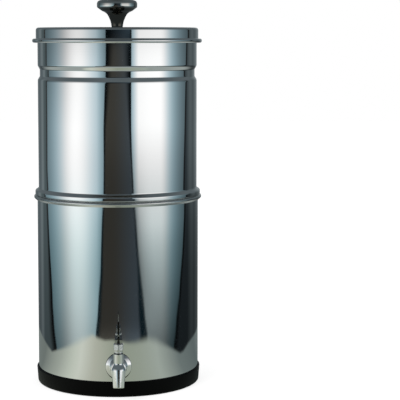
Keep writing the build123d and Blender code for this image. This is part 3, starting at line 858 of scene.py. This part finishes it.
# the rubber washer behind the flange, which squeezes it out a little below
WASHER_BACK = 108.1
WASHER_FRONT = 109.5
WASHER_R = 16.8
WASHER_SEAM_R = 12
WASHER_SQUEEZE = 0.09
washer_corners = [
    (WASHER_SEAM_R, WASHER_BACK),
    (WASHER_R, WASHER_BACK),
    (WASHER_R, WASHER_FRONT),
    (TAP_HOLE_R, WASHER_FRONT),
    (TAP_HOLE_R, WASHER_BACK),
    (WASHER_SEAM_R, WASHER_BACK),
]
washer_loop = rounded(washer_corners, radii=[0.3] * 4)[:-1]
washer = lathe(
    "flange_washer", washer_loop, [RUBBER], segments=120, centre=(0, 0, TAP_Z), axis="Y"
)
for vertex in washer.data.vertices:
    vertex.co.z -= WASHER_SQUEEZE * max(0, TAP_Z * MM - vertex.co.z)
dress(washer, "lower_unit", ["tap_outer_washer"])

# ---------------------------------------------------------------- spring

SPRING_LOW = 44.5
SPRING_HIGH = 71.1
SPRING_INSET = 0.45
STEPS_PER_TURN = 32
WIRE_SIDES = 12


def coil(name, centre, low, high, radius, wire, turns, slots):
    """Open spring of round wire (wire is its radius), between these heights of the wire's middle."""
    steps, sides = STEPS_PER_TURN * turns, WIRE_SIDES
    verts, faces = [], []
    for i in range(steps + 1):
        a = 2 * pi * i / STEPS_PER_TURN
        outward = Vector((cos(a), sin(a), 0))
        ahead = Vector((-sin(a), cos(a), (high - low) / turns / (2 * pi * radius))).normalized()
        middle = Vector((*centre, low + (high - low) * i / steps)) + outward * radius
        for j in range(sides):
            b = 2 * pi * j / sides
            spot = middle + (outward * cos(b) + ahead.cross(outward) * sin(b)) * wire
            verts.append(spot * MM)
    for i in range(steps):
        for j in range(sides):
            k = (j + 1) % sides
            here, there = i * sides, (i + 1) * sides
            faces.append((here + j, here + k, there + k, there + j))
    faces.append(tuple(range(sides)))
    faces.append(tuple(range(steps * sides, (steps + 1) * sides)))
    return new_object(name, verts, faces, slots)


spring = coil(
    "valve_spring",
    centre=(0, SPOUT_Y),
    low=SPRING_LOW + SPRING_INSET,
    high=SPRING_HIGH - SPRING_INSET,
    radius=3.3,
    wire=0.4,
    turns=8,
    slots=[FASTENER],
)
dress(spring, "lower_unit", ["stem_spring"])
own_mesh(spring)

# ---------------------------------------------------------------- CAD nodes that stay

coat(LEVER, "tap_lever")
coat(
    RUBBER,
    "tap_inner_washer",
    "knob_gasket",
    "candle_washer_left",
    "candle_washer_right",
    "plug_washer_front",
    "plug_washer_rear",
    "bonnet_seal",
    "stem_seal_ring",
    "valve_seal",
)
coat(
    FASTENER,
    "knob_screw",
    "knob_washer",
    "tap_steel_washer",
    "tap_nut",
    "gland_washer",
    "lever_pin",
)
coat(STEM, "valve_stem")
coat(CERAMIC, "candle_shell_left", "candle_shell_right")
coat(CARBON, "candle_core_left", "candle_core_right")
coat(
    PLASTIC,
    *(f"candle_{part}_{side}" for part in ("base", "nut") for side in ("left", "right")),
    *(f"{part}_{side}" for part in ("blanking_plug", "plug_nut") for side in ("front", "rear")),
)

# ---------------------------------------------------------------- studio

scene = bpy.context.scene
scene.view_settings.view_transform = "Standard"

TO_DEGREES = 180 / pi
PATCH_POWER = 1.18
FLOOR_POWER = 0.71
FLOOR_SIZE = 12
EVEN_LIGHT = (0.78, 0.78, 0.78, 1)
WHITE = (1, 1, 1, 1)

# elevations between which the values by height change
LOWEST = -14
HIGHEST = 10

# how the steel shows each softbox, in degrees of turn: its middle, how fast it falls off on the
# near and the far side of that, and where its near side starts and is full
LEFT_SOFTBOX = {"middle": 66, "near": 38, "far": 29, "start": 0, "full": 30}
RIGHT_SOFTBOX = {"middle": 62, "near": 120, "far": 19, "start": 12, "full": 30}
COOL_TINT = (0.74, 1.06, 1.2, 1.0)
COOL_RANGE = 0.2, 0.95

LAMP_TARGET = Vector((0, 0, 0.2))


def pairs(*numbers):
    """(place, value) for each two numbers."""
    return list(zip(numbers[::2], numbers[1::2]))


def studio_world():
    """Dark studio with a tall softbox on each side, as the polished steel shows it.

    Directions are the azimuth from -Y towards +X and the elevation, in degrees. Only glossy
    rays see the studio; the camera sees white, and matt surfaces get an even light. From the
    front to the back, each side has a dark middle strip, a softbox, a dark line and the room.
    """
    world = bpy.data.worlds.new("studio")
    scene.world = world
    world.use_nodes = True
    world.cycles.sampling_method = "NONE"
    n = Nodes(world.node_tree)
    x, y, z = n.parts(n.add("ShaderNodeTexCoord", output=0))
    front = n.math("MULTIPLY", y, -1.0)
    azimuth = n.math("MULTIPLY", n.math("ARCTAN2", x, front), TO_DEGREES)
    elevation = n.math("MULTIPLY", n.math("ARCSINE", z), TO_DEGREES)
    turn = n.math("ABSOLUTE", azimuth)
    right = n.math("GREATER_THAN", azimuth, 0.0)

    def by_height(left_stops, right_stops, unit):
        """Value by elevation on the left and on the right, at most unit."""
        sides = [
            n.ramp(elevation, LOWEST, HIGHEST, [(height, value / unit) for height, value in stops])
            for stops in (left_stops, right_stops)
        ]
        return n.math("MULTIPLY", n.mix(right, *sides), unit)

    # the turn where the middle strip ends, and how far in from there its black edge reaches
    strip = by_height(
        pairs(-11.6, 32, -10.9, 29.1, -10.1, 27.4, -9.2, 24.3, -8.2, 23.2, -7.2, 22, -6.1, 19.7)
        + pairs(-4.7, 19.3, -3.5, 19.5, -0.9, 15.7),
        pairs(-11.6, 41.7, -10.9, 37.9, -10.1, 35.1, -9.2, 31, -8.2, 27.3, -7.2, 25.3, -6.1, 22.2)
        + pairs(-4.7, 20, -3.5, 18.7, -0.9, 19.2),
        60,
    )
    edge = by_height(
        pairs(-12, 9, -10, 6, -8.6, 3.5, -5, 1.8, -3.5, 4, -2, 9, -0.9, 12, 0, 13),
        pairs(-12, 14, -10, 8, -8.6, 4, -5, 1.8, -3.5, 4, -2, 9, -0.9, 13, -0.2, 14, 0, 2),
        60,
    )
    # the turn where the softbox ends
    outer = by_height(
        pairs(-12.1, 100, -11.8, 102.5, -11.5, 104.5, -11.2, 106, -10.9, 106.5, -10.5, 108.5)
        + pairs(-9.8, 109.5, -8.2, 115, -6.7, 119, -5.1, 123.5, -3.5, 122.5),
        pairs(-12, 87, -11.6, 90, -10.9, 92.5, -10.5, 95, -10.1, 98.5, -9.4, 100.5, -8.2, 106.5)
        + pairs(-7, 109.7, -5.9, 110.5, -4.8, 112, -3.5, 114, -1.2, 117, 0, 119),
        180,
    )
    # how bright the softbox is, and how much darker its far side
    peak = by_height(
        pairs(-12, 0.54, -11.6, 0.57, -10.9, 0.645, -10.1, 0.72, -9.2, 0.8, -8.2, 0.92, -7.2, 1.06)
        + pairs(-6.1, 1.13, -4.7, 1.18, -3.5, 1.265, -2.2, 1.25, -0.9, 1.21, 0, 0.95, 8, 0.8),
        pairs(-12, 0.15, -11.6, 0.18, -10.9, 0.24, -10.1, 0.295, -9.2, 0.385, -8.2, 0.5)
        + pairs(-7.2, 0.695, -6.1, 0.78, -4.7, 0.98, -3.5, 1.2, -2.2, 1.2, -0.9, 1.17, 0, 1.0)
        + pairs(8, 0.85),
        2,
    )
    side_fall = by_height(
        pairs(-12, 0.48, -10.5, 0.6, -9.2, 0.65, -8.2, 0.68, -7.2, 0.75, -6.1, 0.84, -4.7, 0.9)
        + pairs(-3.5, 0.85, -2.2, 0.72, -0.9, 0.6),
        pairs(-12, 0.6, -11.2, 0.72, -10.5, 0.85, -9.2, 0.95, -7, 1.0),
        1,
    )

    def softbox_light(middle, near, far, start, full):
        """Falls off from its middle by the inverse square, and is cooler where it is dim."""
        away = n.math("SUBTRACT", turn, middle)
        beyond = n.math("GREATER_THAN", away, 0.0)
        reach = n.math("ADD", n.math("MULTIPLY", beyond, far - near), near)
        share = n.math("DIVIDE", away, reach)
        level = n.math("DIVIDE", 1.0, n.math("ADD", n.math("MULTIPLY", share, share), 1.0))
        level = n.math("MULTIPLY", level, n.fade(turn, start, full, 0.0, 1.0))
        return n.multiplied(n.mix(n.step(level, *COOL_RANGE), COOL_TINT, WHITE), level)

    box = n.mix(right, softbox_light(**LEFT_SOFTBOX), softbox_light(**RIGHT_SOFTBOX))
    box = n.multiplied(box, peak)
    box = n.mix(n.step(turn, 45.0, 88.0), box, n.multiplied(box, side_fall))
    # at middle heights its near side brightens slowly
    past_strip = n.math("SUBTRACT", turn, strip)
    start = n.ramp(past_strip, 0, 24, pairs(0, 0.35, 3, 0.52, 8, 0.72, 13, 0.84, 18, 0.93, 24, 1))
    share = by_height(
        pairs(-10.5, 0, -9.5, 0.35, -7.4, 0.35, -6.5, 0),
        pairs(-11, 0, -10, 0.6, -9, 1, -7, 1, -6, 0.5, -4.5, 0.3, -3.5, 0),
        1,
    )
    box = n.mix(share, box, n.multiplied(box, start))
    cooler = n.multiplied(box, (0.9, 1.08, 1.09, 1.0))
    box = n.mix(n.step(elevation, -4.5, -9.5), box, cooler)

    # the strip: its middle, blackened along both edges; the lid mirrors a cooler one
    middle = n.mix(n.step(azimuth, -10.0, 28.0), srgb(50, 49, 45), srgb(55, 63, 69))
    lid_middle = n.mix(n.step(azimuth, -12.0, 32.0), srgb(9, 14, 18), srgb(46, 58, 66))
    middle = n.mix(n.step(elevation, -0.45, -0.1), middle, lid_middle)
    middle = n.mix(n.step(elevation, -11.2, -12.1), middle, n.multiplied(middle, (2.1,) * 4))
    middle = n.mix(n.step(elevation, -6.5, -3.0), middle, n.multiplied(middle, (1.5,) * 4))
    black = n.mix(n.step(elevation, -9.5, -6.0), srgb(10, 25, 31), srgb(6, 10, 13))
    low_right = n.math("MULTIPLY", right, n.step(elevation, -8.5, -10.5))
    full_black = n.math("MULTIPLY", n.math("MULTIPLY", low_right, 0.6), edge)
    full_black = n.math("MAXIMUM", full_black, 0.6)
    before_end = n.math("SUBTRACT", strip, turn)
    dark = n.mix(n.step(before_end, edge, full_black), middle, black)

    # the room behind the softboxes, darker low down
    room_left = n.ramp(
        turn,
        90,
        180,
        [
            (131, srgb(78, 90, 93)),
            (139, srgb(114, 125, 128)),
            (146, srgb(98, 108, 112)),
            (151, srgb(84, 95, 99)),
            (160, srgb(98, 107, 110)),
            (168, srgb(112, 120, 123)),
            (176, srgb(150, 156, 158)),
        ],
    )
    room_right = n.ramp(
        turn,
        90,
        180,
        [
            (118, srgb(50, 58, 62)),
            (123, srgb(68, 77, 80)),
            (129, srgb(84, 93, 96)),
            (134, srgb(86, 95, 98)),
            (140, srgb(76, 85, 88)),
            (146, srgb(86, 95, 98)),
            (152, srgb(100, 109, 112)),
            (160, srgb(122, 130, 133)),
            (168, srgb(140, 147, 149)),
            (176, srgb(170, 175, 177)),
        ],
    )
    low_dark = by_height(
        pairs(-12, 0.6, -10, 0.7, -8, 0.85, -6, 1),
        pairs(-12, 0.3, -9, 0.36, -7.2, 0.5, -5.5, 0.8, -4, 1),
        1,
    )
    room = n.multiplied(n.mix(right, room_left, room_right), low_dark)
    line_shade = by_height(
        pairs(-10.5, 0.0018, -9.2, 0.003, -8.2, 0.005, -7.2, 0.014, -5, 0.028),
        pairs(-10.5, 0.001, -7.2, 0.003, -5.5, 0.006, -3.5, 0.0105, 0, 0.008),
        1,
    )
    line_width = by_height(
        pairs(-11.6, 16, -9.8, 12, -8.2, 7, -5, 4.5), pairs(-12, 10, -10, 5, -3, 4.5), 20
    )
    past_box = n.math("SUBTRACT", turn, outer)
    room = n.mix(n.step(past_box, line_width, 1.0), room, line_shade)

    seen = n.mix(n.step(past_strip, 0.0, 1.2), dark, box)
    seen = n.mix(n.step(past_box, -2.0, 0.5), seen, room)
    # a grey ceiling, darker overhead, and a pale floor outside the lit patch
    ceiling = n.mix(n.step(elevation, 60.0, 75.0), srgb(90, 99, 103), srgb(36, 35, 31))
    seen = n.mix(n.step(elevation, 4.0, 26.0), seen, ceiling)
    seen = n.mix(n.step(elevation, -14.0, -30.0), seen, srgb(158, 166, 163))

    ray = n.tree.nodes.new("ShaderNodeLightPath").outputs
    colour = n.mix(ray["Is Glossy Ray"], EVEN_LIGHT, seen)
    colour = n.mix(ray["Is Camera Ray"], colour, WHITE)
    shade = n.add("ShaderNodeBackground", {"Color": colour, "Strength": 1.0})
    n.add("ShaderNodeOutputWorld", {"Surface": shade})


def studio_floor():
    """White for the camera with a soft shadow, and a lit warm patch for the steel to reflect."""
    made, n = material("floor")
    x, y, _ = n.parts(n.add("ShaderNodeTexCoord", output=3))
    front = n.math("MULTIPLY", y, -1.0)
    azimuth = n.math("MULTIPLY", n.math("ARCTAN2", x, front), TO_DEGREES)
    patch = n.ramp(
        azimuth,
        -180,
        180,
        [
            (-150, srgb(110, 118, 116)),
            (-110, srgb(104, 112, 108)),
            (-75, srgb(152, 159, 150)),
            (-56, srgb(183, 190, 178)),
            (-46, srgb(193, 198, 187)),
            (-28, srgb(168, 171, 158)),
            (0, srgb(138, 146, 131)),
            (25, srgb(144, 152, 140)),
            (48, srgb(152, 161, 153)),
            (80, srgb(104, 114, 112)),
            (120, srgb(88, 98, 98)),
            (160, srgb(118, 126, 126)),
        ],
    )
    # how far the patch reaches from the object's axis, and how blurred its edge is, in metres
    spread = n.math("SQRT", n.math("ADD", n.math("MULTIPLY", x, x), n.math("MULTIPLY", y, y)))
    reach_stops = (
        pairs(-180, 0.43, -140, 0.395, -118, 0.358, -94, 0.309, -80, 0.345, -65, 0.387)
        + pairs(-49, 0.445, -33, 0.499, -26, 0.477, -17, 0.461, -8, 0.466, 0, 0.46)
        + pairs(12, 0.442, 21, 0.444, 30, 0.455, 38, 0.464, 49, 0.439, 65, 0.379)
        + pairs(84, 0.306, 91, 0.31, 105, 0.347, 118, 0.365, 135, 0.379, 180, 0.43)
    )
    blur_stops = (
        pairs(-91, 0.012, -80, 0.018, -65, 0.03, -49, 0.05, -33, 0.025, -17, 0.015)
        + pairs(0, 0.015, 12, 0.022, 30, 0.035, 49, 0.05, 65, 0.028, 84, 0.014)
    )
    reach = n.ramp(azimuth, -180, 180, reach_stops)
    blur = n.ramp(azimuth, -180, 180, blur_stops)
    beyond = n.step(n.math("SUBTRACT", spread, reach), n.math("MULTIPLY", blur, -1.0), blur)
    ray = n.tree.nodes.new("ShaderNodeLightPath").outputs
    lit = n.add("ShaderNodeEmission", {"Color": patch, "Strength": PATCH_POWER})
    clear = n.add("ShaderNodeBsdfTransparent")
    glossy = n.add("ShaderNodeMixShader", {0: beyond, 1: lit, 2: clear})
    white = n.add("ShaderNodeEmission", {"Color": WHITE, "Strength": FLOOR_POWER})
    matt = n.add("ShaderNodeBsdfDiffuse", {"Color": (0.42, 0.42, 0.42, 1)})
    shown = n.add("ShaderNodeAddShader", {0: white, 1: matt})
    pale = n.add("ShaderNodeBsdfDiffuse", {"Color": (0.75, 0.75, 0.74, 1)})
    other = n.add("ShaderNodeMixShader", {0: ray["Is Camera Ray"], 1: pale, 2: shown})
    both = n.add("ShaderNodeMixShader", {0: ray["Is Glossy Ray"], 1: other, 2: glossy})
    n.add("ShaderNodeOutputMaterial", {"Surface": both})
    bpy.ops.mesh.primitive_plane_add(size=FLOOR_SIZE, location=(0, 0, 0))
    floor = bpy.context.object
    floor.name = "studio_floor"
    floor.data.materials.append(made)


def softbox(name, place, size, power):
    """Round lamp aimed at the object, for the matt surfaces only."""
    lamp = bpy.data.lights.new(name, "AREA")
    lamp.shape, lamp.size, lamp.energy = "DISK", size, power
    made = bpy.data.objects.new(name, lamp)
    made.location = place
    made.rotation_euler = (LAMP_TARGET - Vector(place)).to_track_quat("-Z", "Y").to_euler()
    made.visible_glossy = False
    bpy.context.collection.objects.link(made)


studio_world()
studio_floor()
softbox("key", (-1.3, -1.5, 2.2), size=1.6, power=22)
softbox("fill", (1.6, -0.9, 1.4), size=1.8, power=9)

# ---------------------------------------------------------------- camera

CAMERA_DISTANCE = 1.965
CAMERA_HEIGHT = 0.4645
TILT_DOWN = 5.6
TURN_RIGHT = 2.4
camera = bpy.data.cameras.new("camera")
camera.sensor_width = 36
camera.lens = 131.63
camera.shift_x = 0.053
camera.shift_y = -0.05
viewer = bpy.data.objects.new("camera", camera)
viewer.location = (0, -CAMERA_DISTANCE, CAMERA_HEIGHT)
viewer.rotation_euler = (radians(90 - TILT_DOWN), 0, radians(-TURN_RIGHT))
bpy.context.collection.objects.link(viewer)
scene.camera = viewer
